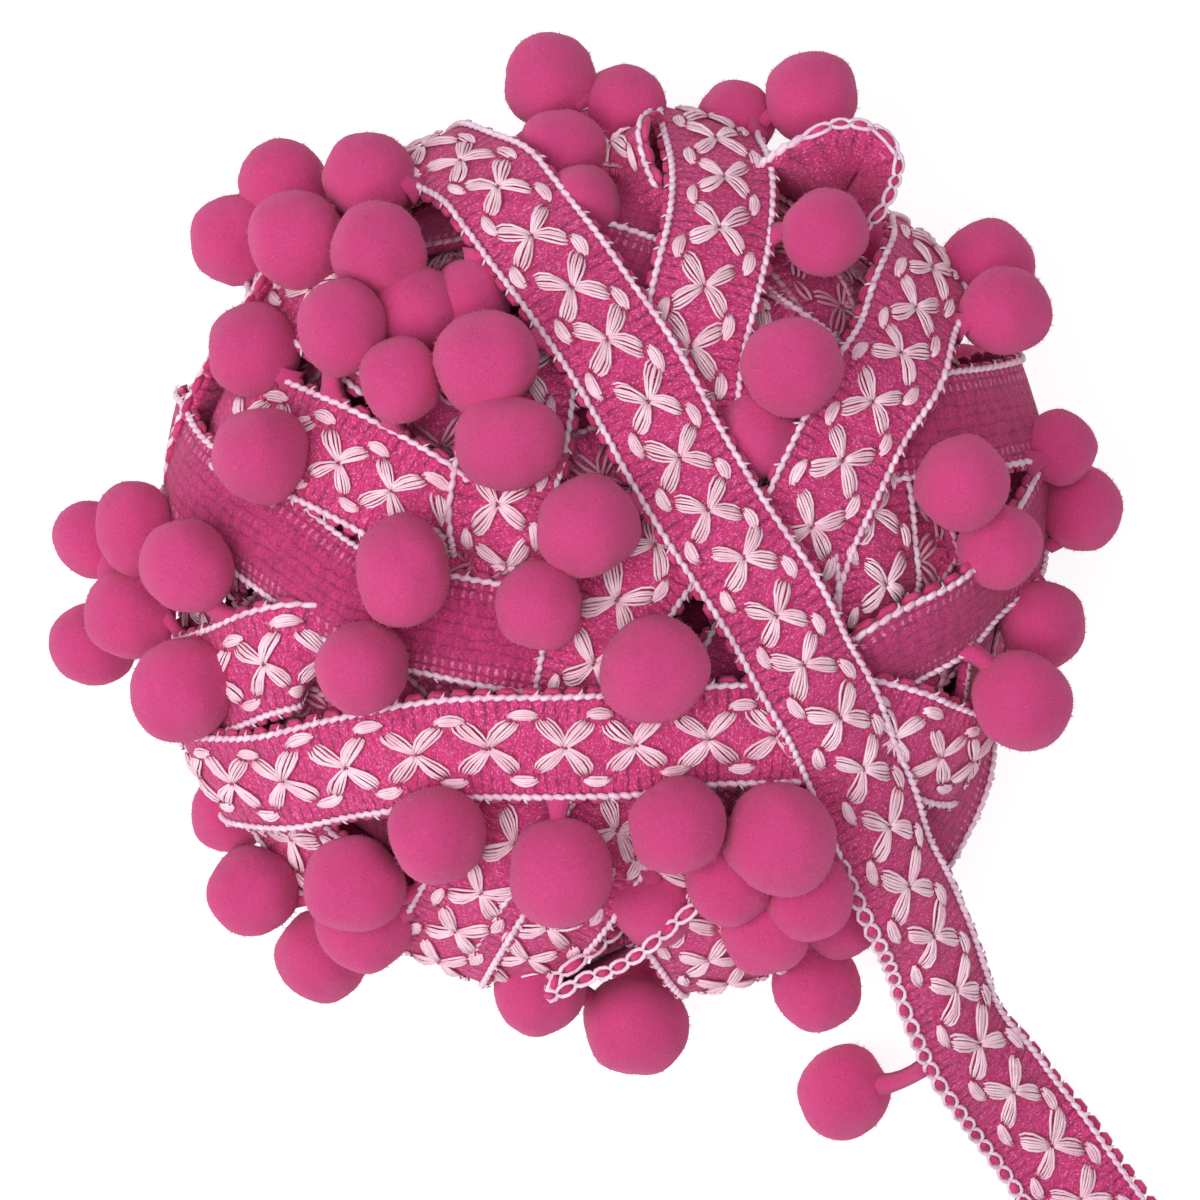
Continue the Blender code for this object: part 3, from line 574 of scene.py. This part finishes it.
# The kinds of stitch, each two pitches long: a plain chain, the chain with the ground's loops, the chain on a
# standing edge, the links on a standing edge, and those of the loose end, with open links on one edge.
plain, covered, doubled, folded, tail = (bmesh.new() for _ in range(5))
for side in (1, -1):
    chain_beads(covered, side, SIDES)
    ground_loops(covered, side, 8.1, 0.6)
    edge_chain(doubled, side)
    edge_links(folded, side)
    chain_beads(plain, side, 3)
chain_beads(tail, 1, SIDES)
ground_loops(tail, 1, 8.4, 0.64)
linked_loops(tail, -1)
STITCH, DOUBLED_STITCH, FOLDED_STITCH, PLAIN_STITCH, TAIL_STITCH = (
    close_threads(shape, "stitch") for shape in (covered, doubled, folded, plain, tail)
)


def stitch_row(parts):
    """Stitches one after another along the tape, as one mesh: each part is a stitch and how many of it."""
    shape = bmesh.new()
    reach = 0
    for mesh, number in parts:
        first = len(shape.verts)
        shape.from_mesh(repeat(mesh, number, 2 * EDGE_PITCH))
        shape.verts.ensure_lookup_table()
        bmesh.ops.translate(shape, vec=(reach, 0, 0), verts=shape.verts[first:])
        reach += number * 2 * EDGE_PITCH
    return finished_mesh(shape, "stitch_row")


for number, name in enumerate(TURNS):
    run = runs[name]
    drawn_up = LOOP_DRAWN_UP if name == "back_loop" else 1
    count = int(run["length"] / EDGE_PITCH / 2 / drawn_up)
    parts = {
        "outer_turn": [(STITCH, COVERED_COUNT), (TAIL_STITCH, count - COVERED_COUNT)],
        "back_loop": [(DOUBLED_STITCH, DOUBLED_COUNT), (FOLDED_STITCH, count - DOUBLED_COUNT)],
        "front_loop": [(FOLDED_STITCH, count)],
    }.get(name, [(STITCH, count)])
    chain = stitch_row(parts)
    chain.transform(Matrix.Scale(drawn_up, 4, (1, 0, 0)))
    lay_along(chain, run, number)
    add_piece(name + "_edges", chain, "floss", ["wound_ball"], chain_thread, loop_thread)

# The embroidery on the face of the tape: two pale floss threads that cross in the middle as four petals and
# run back along each edge as half moons, tied down with fine magenta thread.
# FLOSS_PITCH is a repeat as it is drawn, and CROSSING_STEP one as it is sewn where no other place is known.
FLOSS_PITCH = 10.2
CROSSING_STEP = 9.8
FIRST_CROSSING = 9.0
START_ROOM = 14
END_ROOM = 8
STRANDS = 6
STRAND_RADIUS = 0.22
REPEAT_KINDS = 4
PETAL_RISE = 0.75
MOON_LINE = 4.75
MOON_START, MOON_END = 3.1, 7.1
MOON_WIDTH = 0.72
MOON_RISE = 0.5
MOON_BOW = 0.35
TIE_LINE = 4.3
TIE_PLACES = (3.4, 6.8)
TIE_RADII = (0.15, 0.18, 0.15)
# How wide a petal and a half moon are along their length, as shares of both.
PETAL = ((0, 0.35), (0.2, 0.62), (0.5, 0.96), (0.8, 1.0), (1.0, 0.72))
MOON = ((0, 0.35), (0.25, 0.85), (0.5, 1.0), (0.75, 0.85), (1.0, 0.35))
twist = np.random.default_rng(5)


def bundle(shape, start, end, sideways, form, strands, radius, height, bow=0.0):
    """Strands side by side from start to end, spread sideways as the form says, each a little out of line."""
    start, end, sideways = (Vector((*place, 0)) for place in (start, end, sideways))
    for i in range(strands):
        beside = 2 * i / (strands - 1) - 1
        rise = height * (math.sqrt(1 - 0.6 * beside**2) + twist.uniform(-0.25, 0.25))
        slip = twist.uniform(-0.05, 0.05)
        stray = twist.uniform(-0.1, 0.1)
        points = []
        for share, width in form:
            place = start + (end - start) * (share + slip)
            place += sideways * (width * (beside + stray) + bow * math.sin(math.pi * share))
            place.z = 0.12 + rise * math.sin(math.pi * min(0.15 + 0.75 * share, 1.0))
            points.append(place)
        radii = [radius * (0.72 + 0.28 * width) for _, width in form]
        radii[-1] *= 0.7
        thread(shape, points, radii, 4)


def floss_repeat(strands, radius):
    """One repeat of the embroidery, centred on its crossing."""
    shape = bmesh.new()
    for x in (1, -1):
        for y in (1, -1):
            end = (x * twist.uniform(3.2, 3.7), y * twist.uniform(3.5, 3.95))
            sideways = (twist.uniform(1.05, 1.35), -x * y * 0.4)
            bundle(shape, (0.15 * x, 0.3 * y), end, sideways, PETAL, strands, radius, PETAL_RISE,
                   twist.uniform(-0.3, 0.4))
    for y in (1, -1):
        bundle(shape, (MOON_START, y * MOON_LINE), (MOON_END, y * MOON_LINE), (0, y * MOON_WIDTH), MOON,
               strands - 1, radius, MOON_RISE, MOON_BOW)
    ties = [((-0.9, 0), (0.9, 0))]
    ties += [((x - 0.5, y - 0.3), (x + 0.5, y + 0.3)) for x in TIE_PLACES for y in (TIE_LINE, -TIE_LINE)]
    for (x0, y0), (x1, y1) in ties:
        middle = ((x0 + x1) / 2, (y0 + y1) / 2, 0.6)
        mark(shape, thread(shape, [(x0, y0, 0.2), middle, (x1, y1, 0.2)], TIE_RADII, 3), 1)
    return close_threads(shape, "floss_repeat")


floss_thread = thread_material("floss", (0.98, 0.71, 0.81, 1), (0.86, 0.53, 0.64, 1), 300.0)
tie_thread = thread_material("tie_thread", (0.60, 0.04, 0.16, 1), (0.48, 0.02, 0.11, 1), 400.0)
REPEATS = [floss_repeat(STRANDS, STRAND_RADIUS) for _ in range(REPEAT_KINDS)]

# Where the crossings lie along the turns that the hand has stretched unevenly, in millimetres.
CROSSINGS = {
    "outer_turn": [
        76.5, 87, 97, 107.5, 116.5, 125, 133.5, 142.5, 151, 161, 171, 182, 193, 205, 217.5, 230.5, 242.5,
        254.5, 265,
    ],
    "front_turn": [62.5, 74, 85.5, 96.5, 107, 117, 127.5],
    "upright_turn": [51, 60.5, 70, 79.5, 89],
    "right_turn": [62.5, 71, 80.5, 90, 100.5],
    "left_turn": [30.5, 39.5],
    "low_left_turn": [63],
    "centre_turn": [30.5],
    "right_under_turn": [24.5],
    "bottom_middle_turn": [26],
}
# How far aside of the middle of the tape the embroidery runs, where it isn't centred, in millimetres.
ASIDE = {
    "outer_turn": ((151, 0.0), (161, 0.9), (182, 0.8), (193, 0.0), (205, 0.0), (217, 0.6), (242, 0.9),
                   (265, 0.0)),
}
# The hand that made it is uneven: how much a repeat is grown, moved in millimetres and turned in radians.
GROWTH = (0.92, 1.06)
MOST_SHIFT = 0.35
MOST_SPIN = 0.09
jitter = np.random.default_rng(11)


def floss_row(repeats, count):
    """A row of the repeats in order along the tape, as one mesh, and the place in the row of each corner."""
    shape = bmesh.new()
    places = []
    for first, mesh in enumerate(repeats):
        start = len(shape.verts)
        number = math.ceil((count - first) / len(repeats))
        if number > 0:
            places.append(np.repeat(np.arange(number) * len(repeats) + first, len(mesh.vertices)))
            shape.from_mesh(repeat(mesh, number, FLOSS_PITCH * len(repeats)))
            shape.verts.ensure_lookup_table()
            bmesh.ops.translate(shape, vec=(first * FLOSS_PITCH, 0, 0), verts=shape.verts[start:])
    return finished_mesh(shape, "floss_row"), np.concatenate(places)


def add_floss(name, run, repeats, known, phase, material):
    """Embroiders a turn, with its crossings at the known places and evenly beyond them."""
    crossings = list(known)
    while crossings[0] > START_ROOM:
        crossings.insert(0, crossings[0] - CROSSING_STEP)
    while crossings[-1] < run["length"] - END_ROOM - CROSSING_STEP:
        crossings.append(crossings[-1] + CROSSING_STEP)
    count = len(crossings)
    crossings = [crossings[0] - CROSSING_STEP, *crossings, crossings[-1] + CROSSING_STEP]
    floss, number = floss_row(repeats, count)
    flat = np.empty(len(floss.vertices) * 3, np.float32)
    floss.vertices.foreach_get("co", flat)
    flat = flat.reshape(-1, 3)
    grow = jitter.uniform(*GROWTH, (count, 2))[number]
    shift = jitter.uniform(-MOST_SHIFT, MOST_SHIFT, (count, 2))[number]
    spin = jitter.uniform(-MOST_SPIN, MOST_SPIN, count)[number]
    along = (flat[:, 0] - number * FLOSS_PITCH) * grow[:, 0]
    aside = flat[:, 1] * grow[:, 1]
    flat[:, 1] = aside + along * spin + shift[:, 1]
    along = along - aside * spin + shift[:, 0] + number * FLOSS_PITCH
    flat[:, 0] = np.interp(along, np.arange(-1, count + 1) * FLOSS_PITCH, crossings)
    lengths, shifts = zip(*ASIDE.get(name, ((0, 0.0),)))
    flat[:, 1] += np.interp(flat[:, 0], lengths, shifts)
    floss.vertices.foreach_set("co", flat.ravel())
    lay_along(floss, run, phase)
    add_piece(name + "_floss", floss, "floss", ["wound_ball"], material, tie_thread)


for number, (name, (face, *_)) in enumerate(TURNS.items()):
    if face == FRONT:
        add_floss(name, runs[name], REPEATS, CROSSINGS.get(name, [FIRST_CROSSING]), number, floss_thread)

# The buried turns: the rest of the trim, wound round and round under the outer turns. They are plainer here,
# because little of them shows in the gaps, and their pale threads are painted darker as painted shade. A heart
# painted dark as painted shade closes the ball behind them.
HEART_RADIUS = 53.0
HEART_RISE = 23.0
HEART_DROP = 30.5
BURIED_RADIUS = 56.5
BURIED_RISE = 26.5
BURIED_DROP = 31.0
BURIED_COUNT = 9
BURIED_TAPE_STEP = 2.4
BURIED_TAPE_CELLS = 8
BURIED_POINTS = 24
BURIED_STRANDS = 3
BURIED_STRAND_RADIUS = 0.34
LEAST_TILT = 28
TILT_RANGE = 55
LIFT_STEP = 1.4
LEAST_HEIGHT = 1.6
GOLDEN_ANGLE = 2.39996
GOLDEN_SHARE = 0.618

shape = bmesh.new()
bmesh.ops.create_icosphere(shape, subdivisions=4, radius=1.0)
lower = [vert for vert in shape.verts if vert.co.z < 0]
bmesh.ops.scale(shape, vec=(1, 1, HEART_DROP / HEART_RISE), verts=lower)
bmesh.ops.scale(shape, vec=Vector((HEART_RADIUS, HEART_RADIUS, HEART_RISE)) * MM, verts=shape.verts)
bmesh.ops.translate(shape, vec=(0, 0, BALL_MIDDLE * MM), verts=shape.verts)
lengths = shape.loops.layers.uv.new("lengths")
for face in shape.faces:
    for corner in face.loops:
        place = corner.vert.co / MM
        corner[lengths].uv = (place.x + 0.4 * place.z, place.y + 0.3 * place.z)
# Painted shade: the heart wears the tape's back painted dark, for the shade deep inside the ball.
heart_painted_shade = knitted_material("heart_painted_shade", BACK_KNIT, (0.24, 0.010, 0.060, 1), (0.34, 0.02, 0.10, 1), 0.6)
add_piece("heart_of_ball", finished_mesh(shape, "heart"), "ribbon", ["wound_ball"], heart_painted_shade)

LIGHT_REPEAT = floss_repeat(BURIED_STRANDS, BURIED_STRAND_RADIUS)
# Painted shade: the buried turns' pale threads are painted darker and pinker, for the shade among the turns.
buried_thread_painted_shade = thread_material("buried_thread_painted_shade", (0.72, 0.34, 0.45, 1), (0.54, 0.18, 0.29, 1), 300.0)
for number in range(BURIED_COUNT):
    turn = GOLDEN_ANGLE * number
    tilt = math.radians(LEAST_TILT + TILT_RANGE * ((number * GOLDEN_SHARE) % 1.0))
    level = Vector((math.cos(turn), math.sin(turn), 0))
    climb = Vector((-math.sin(turn) * math.cos(tilt), math.cos(turn) * math.cos(tilt), math.sin(tilt)))
    rows = []
    lift = LIFT_STEP * (number % 3) - LIFT_STEP
    for i in range(BURIED_POINTS + 1):
        angle = 2 * math.pi * i / BURIED_POINTS
        way = level * math.cos(angle) + climb * math.sin(angle)
        rise = BURIED_RISE if way.z > 0 else BURIED_DROP
        rows.append((way.x * (BURIED_RADIUS + lift), way.y * (BURIED_RADIUS + lift),
                     max(BALL_MIDDLE + way.z * (rise + lift), LEAST_HEIGHT)))
    run = trim_run(rows)
    name = f"buried_turn_{number}"
    tape = flat_tape(run["length"], BURIED_TAPE_STEP, BURIED_TAPE_CELLS)
    lay_along(tape, run, number)
    shows_face = number % 2 == 0
    add_piece(name + "_ribbon", tape, "ribbon", ["wound_ball"], face_knit if shows_face else back_knit)
    chain = repeat(PLAIN_STITCH, int(run["length"] / EDGE_PITCH / 2), 2 * EDGE_PITCH)
    lay_along(chain, run, number)
    add_piece(name + "_edges", chain, "floss", ["wound_ball"], buried_thread_painted_shade, loop_thread)
    if shows_face:
        add_floss(name, run, [LIGHT_REPEAT], [FIRST_CROSSING], number, buried_thread_painted_shade)

# The pompoms: balls of clipped felted wool about 14 mm across, each on a short flat stem that is sewn under one
# edge of the tape. A pompom is a little egg-shaped towards its stem, with a bloom of fine fibre ends. Each is
# east, north, up and diameter, then how far north its stem is drawn, and its length north for its width.
POMPOMS = {
    "outer_turn": [(-33.5, 43.2, 56, 13.8), (-17.7, 26.5, 67, 14.8), (-3.4, 3.5, 71, 14.7),
                   (6.0, -16.8, 70, 15.7), (24.0, -41.2, 60, 16.2)],
    "front_turn": [(-53.3, -50.2, 30, 13.4), (-37.2, -48.3, 49, 14.5), (-24.9, -40.5, 60, 14.0),
                   (-7.4, -45.7, 61, 15.4), (9.4, -38.9, 64, 14.2)],
    "back_upright": [(29.6, 67.6, 32, 13.8), (30.6, 45.8, 56, 12.6), (25.6, 26.1, 65, 14.4),
                     (20.5, 16.5, 59, 13.0)],
    "back_hidden": [(-9.0, 69.7, 32, 14.4), (-7.1, 58.8, 40.5, 12.8), (1.9, 66.2, 32, 12.5),
                    (18.5, 64.8, 28, 11.8), (-4.5, 50.5, 49, 11.5)],
    "right_turn": [(57.4, 35.2, 42, 13.4), (50.2, 9.7, 58, 13.6), (56.0, 0.9, 51, 12.3),
                   (59.8, -21.5, 46, 14.5)],
    "right_rim": [(56.0, 42.5, 30, 14.2), (66.2, 15.4, 34, 11.2), (70.2, 6.8, 26, 12.8),
                  (63.8, -10.7, 34, 13.0)],
    "upper_left": [(-35.3, 54.7, 44, 13.5), (-45.7, 45.3, 47, 14.5), (-51.9, 29.3, 47, 14.0),
                   (-50.3, 13.7, 58, 13.9)],
    "upper_left_inner": [(-20.2, 36.0, 54, 12.0), (-38.5, 31.9, 60, 12.5, 0.0, 1.1), (-30.1, 24.2, 64, 12.2),
                         (-14.6, 15.1, 69, 15.6, 0.0, 0.9), (-28.2, 34.5, 55, 13.0)],
    "upper_left_rim": [(-48.7, 54.9, 30, 13.5), (-55.8, 46.7, 29, 13.8)],
    "middle": [(-10.4, -7.7, 70, 12.8), (-29.5, -2.8, 67, 13.5, 0.0, 1.2), (-35.4, -16.6, 64, 13.7)],
    "left_upper": [(-61.4, -2.2, 50, 13.5), (-62.5, -20.1, 44, 15.1), (-57.2, -38.6, 24, 12.2)],
    "left_middle": [(-70.3, 3.8, 36, 11.8, -9.0, 1.15), (-71.4, -9.2, 32, 13.2)],
    "left_lower": [(-78.0, 2.1, 20, 12.0), (-78.3, -13.8, 18, 12.8), (-70.9, -2.6, 22, 12.6)],
    "bottom_left": [(-43.4, -60.3, 24, 14.0), (-36.3, -54.8, 38, 14.0)],
    "bottom_rim": [(-10.7, -65.2, 28, 13.4), (3.7, -71.1, 20, 15.8)],
    "bottom_upper": [(6.1, -51.3, 46.5, 12.8), (16.9, -47.4, 53, 13.0), (28.4, -50.0, 51, 13.0),
                     (22.3, -55.0, 47, 13.0), (34.2, -54.0, 29, 12.8)],
    "running_end": [(30.6, -64.8, 24, 13.5), (35.6, -82.5, 7.4, 14.7, 10), (52.0, -110.5, 7.2, 14.0)],
}
# The pompoms under the rim lie on the table, evenly round the ball, at these bearings in degrees.
UNDER_RADIUS = 60
UNDER_HEIGHT = 7.2
UNDER_DIAMETER = 14
UNDER_BEARINGS = {
    "under_north": [25, 50, 75, 100],
    "under_west": [125, 150, 175, 200],
    "under_south": [225, 250, 275],
    "under_east": [325, 350],
}
for row, bearings in UNDER_BEARINGS.items():
    POMPOMS[row] = [(UNDER_RADIUS * math.cos(bearing), UNDER_RADIUS * math.sin(bearing), UNDER_HEIGHT,
                     UNDER_DIAMETER) for bearing in np.radians(bearings)]
# A stem starts on the pompom edge of a turn, if one is near enough, and narrows to its neck at the pompom.
POMPOM_EDGE_LINE = 7.6
POMPOM_EDGE_DEPTH = -0.8
STEM_GAP = 1.5
STEM_REACH = 11.5
STEM_RISE = 14.0
STEM_CUTS = 6
STEM_WIDTH = 4.3
STEM_WAIST = 1.9
STEM_TAPER = 0.6
STEM_THICKNESS = 1.5
STEM_BOW = 1.2
HIDDEN_REACH = 5
TABLE_GAP = 0.0002
# Shares of a pompom's radius: its broad lumps, its small ones, how egg-shaped it is, and its fibre ends.
LUMPS = 0.10
SMALL_LUMPS = 0.02
MOST_EGG = 0.07
FIBRES = 600
FIBRE_RADIUS = 0.010
FIBRE_LENGTHS = (0.06, 0.16)
BLOOM_KINDS = 3

felt = bpy.data.materials.new("pompom_felt")
felt.use_nodes = True
tree = felt.node_tree
shader = tree.nodes["Principled BSDF"]
shader.inputs["Roughness"].default_value = 0.95
shader.inputs["Specular IOR Level"].default_value = 0.1
shader.inputs["Sheen Weight"].default_value = 0.35
shader.inputs["Sheen Roughness"].default_value = 0.6
shader.inputs["Sheen Tint"].default_value = (1.0, 0.45, 0.65, 1.0)
places = add_node(tree, "TexCoord")
cloud = add_node(tree, "TexNoise", Vector=places.outputs["Object"], Scale=70.0, Detail=3.0)
lint = add_node(tree, "TexNoise", Vector=places.outputs["Object"], Scale=4200.0, Detail=3.0, Roughness=0.8)
lumps = add_node(tree, "TexNoise", Vector=places.outputs["Object"], Scale=420.0, Detail=2.0)
tone = add_node(tree, "MapRange", Value=cloud.outputs["Fac"], **{"From Min": 0.3, "From Max": 0.7})
body_colour = add_node(tree, "MixRGB", Fac=tone.outputs[0], Color1=(0.57, 0.052, 0.195, 1),
                       Color2=(0.66, 0.063, 0.228, 1))
speck = add_node(tree, "MapRange", Value=lint.outputs["Fac"],
                 **{"From Min": 0.35, "From Max": 0.7, "To Min": 0.8, "To Max": 1.2})
lit = add_node(tree, "MixRGB", blend_type="MULTIPLY", Fac=1.0, Color1=body_colour.outputs[0],
               Color2=speck.outputs[0])
height = add_node(tree, "Math", operation="MULTIPLY_ADD", _0=lumps.outputs["Fac"], _1=0.8,
                  _2=lint.outputs["Fac"])
bump = add_node(tree, "Bump", Height=height.outputs[0], Strength=0.7, Distance=0.2 * MM)
tree.links.new(lit.outputs[0], shader.inputs["Base Color"])
tree.links.new(bump.outputs[0], shader.inputs["Normal"])

# Painted sheen: the fibre ends are painted lighter than the felt, so that they make a lighter rim round each
# pompom.
fibre = thread_material("felt_fibre", (0.80, 0.16, 0.36, 1), (0.62, 0.07, 0.23, 1), 900.0)

draw = np.random.default_rng(7)


def fibre_ends():
    """The fibre ends that stand out of one pompom of radius 1, as fine three-sided spikes."""
    shape = bmesh.new()
    for _ in range(FIBRES):
        way = Vector(draw.normal(size=3)).normalized()
        lie = (way + Vector(draw.normal(size=3)) * 0.7).normalized()
        long = draw.uniform(*FIBRE_LENGTHS)
        turned = lie.to_track_quat("Z", "Y").to_matrix().to_4x4()
        bmesh.ops.create_cone(shape, cap_ends=False, segments=3, radius1=FIBRE_RADIUS, radius2=0, depth=long,
                              matrix=Matrix.Translation(way * 0.985 + lie * long * 0.3) @ turned)
    for face in shape.faces:
        face.material_index = 1
    return finished_mesh(shape, "fibre_ends")


def edge_places(run, side):
    """Places every millimetre along the edge of the tape that its pompoms are sewn under."""
    along = np.arange(2, run["length"] - 2, 1.0)
    aside = np.full_like(along, side * POMPOM_EDGE_LINE)
    return follow(run, np.stack([along, aside, np.full_like(along, POMPOM_EDGE_DEPTH)], axis=1), 0) / MM


BLOOMS = [fibre_ends() for _ in range(BLOOM_KINDS)]
EDGE_LINES = np.vstack([edge_places(runs[name], side) for name, (_, side, _) in TURNS.items() if side])


def stem_root(middle, radius):
    """Where a pompom's stem is sewn on: the nearest pompom edge within reach, or else inside the ball."""
    away = np.linalg.norm(EDGE_LINES - middle, axis=1)
    fits = (away > radius + STEM_GAP) & (away < radius + STEM_REACH)
    fits &= EDGE_LINES[:, 2] < middle[2] + STEM_RISE
    if fits.any():
        return EDGE_LINES[np.where(fits, away, np.inf).argmin()]
    inward = np.array((middle[0] / 1.6, middle[1] / 1.6, (middle[2] - BALL_MIDDLE) * 1.5))
    return middle - inward / np.linalg.norm(inward) * (radius + HIDDEN_REACH)


def add_stem(shape, root, middle, radius):
    """The flat stem: a strip of felt that narrows from the tape to the pompom."""
    first = len(shape.verts)
    bmesh.ops.create_cube(shape, size=1.0)
    shape.verts.ensure_lookup_table()
    made = shape.verts[first:]
    long_edges = [edge for edge in {edge for vert in made for edge in vert.link_edges}
                  if abs(edge.verts[0].co.z - edge.verts[1].co.z) > 0.5]
    bmesh.ops.subdivide_edges(shape, edges=long_edges, cuts=STEM_CUTS)
    shape.verts.ensure_lookup_table()
    made = shape.verts[first:]
    reach = Vector(middle - root)
    length = reach.length
    out = Vector((root[0] / 4, root[1] / 4, (root[2] - BALL_MIDDLE))).normalized()
    side = reach.cross(out).normalized()
    flat = side.cross(reach).normalized()
    for vert in made:
        share = vert.co.z + 0.5
        width = STEM_WIDTH - STEM_WAIST * math.sin(math.pi * min(1.0, share * 1.15)) - STEM_TAPER * share
        place = Vector(root) + reach * share * (length - radius * 0.4) / length
        place += side * vert.co.x * width + flat * vert.co.y * (STEM_THICKNESS + share)
        place += flat * STEM_BOW * math.sin(math.pi * share)
        vert.co = place


for row, pompoms in POMPOMS.items():
    shape = bmesh.new()
    for east, north, up, diameter, *more in pompoms:
        rise, tall = (*more, *(0.0, 1.0)[len(more):])
        middle = np.array((east, north, up), float)
        radius = diameter / 2
        root = stem_root(middle + (0, rise, 0), radius)
        toward = Vector(root - middle).normalized()
        shift = Vector(draw.uniform(-50, 50, 3))
        first = len(shape.verts)
        bmesh.ops.create_icosphere(shape, subdivisions=4, radius=1.0)
        bloom = len(shape.verts)
        shape.from_mesh(BLOOMS[int(draw.integers(BLOOM_KINDS))])
        shape.verts.ensure_lookup_table()
        made = shape.verts[first:]
        spin = Matrix.Rotation(draw.uniform(0, 6.28), 3, Vector(draw.normal(size=3)).normalized())
        bmesh.ops.rotate(shape, cent=(0, 0, 0), matrix=spin, verts=shape.verts[bloom:])
        stretch = draw.uniform(0.0, MOST_EGG)
        for vert in made:
            way = vert.co.normalized()
            lump = LUMPS * noise.noise(way * 1.2 + shift) + SMALL_LUMPS * noise.noise(way * 4.0 + shift)
            egg = stretch * (way.dot(toward) ** 2 - 0.33)
            vert.co = vert.co * Vector((1, tall, 1)) * (1 + lump + egg) * radius + Vector(middle)
        add_stem(shape, root, middle, radius)
    for vert in shape.verts:
        vert.co *= MM
        vert.co.z = max(vert.co.z, TABLE_GAP)
    mesh = finished_mesh(shape, "pompoms_" + row)
    add_piece(row + "_pompoms", mesh, "pompom_felt", ["pompoms_" + row], felt, fibre)

# The studio: a plain pale table top and even pale surroundings, with two large soft lights: the key high at the
# left and a little towards the front, and a weaker fill overhead.
LIGHTS = {"key": ((-0.55, -0.25, 1.05), 0.9, 11.0), "fill": ((0.1, 0.1, 1.3), 0.7, 4.6)}
FLOOR_REACH = 4.0
shape = bmesh.new()
bmesh.ops.create_grid(shape, x_segments=1, y_segments=1, size=FLOOR_REACH)
floor_mesh = finished_mesh(shape, "floor")
floor = bpy.data.objects.new("floor", floor_mesh)
paper = bpy.data.materials.new("paper")
paper.use_nodes = True
shader = paper.node_tree.nodes["Principled BSDF"]
shader.inputs["Base Color"].default_value = (0.3, 0.3, 0.3, 1)
shader.inputs["Roughness"].default_value = 0.9
shader.inputs["Specular IOR Level"].default_value = 0.1
shader.inputs["Emission Color"].default_value = (1, 1, 1, 1)
shader.inputs["Emission Strength"].default_value = 0.85
floor_mesh.materials.append(paper)
scene.collection.objects.link(floor)

world = bpy.data.worlds.new("studio")
world.use_nodes = True
world.node_tree.nodes["Background"].inputs["Color"].default_value = (1, 1, 1, 1)
world.node_tree.nodes["Background"].inputs["Strength"].default_value = 0.25
scene.world = world
for name, (place, size, power) in LIGHTS.items():
    lamp = bpy.data.lights.new(name, "AREA")
    lamp.size = size
    lamp.energy = power
    holder = bpy.data.objects.new(name, lamp)
    holder.location = place
    holder.rotation_euler = (-Vector(place)).to_track_quat("-Z", "Y").to_euler()
    scene.collection.objects.link(holder)
scene.view_settings.view_transform = "Standard"
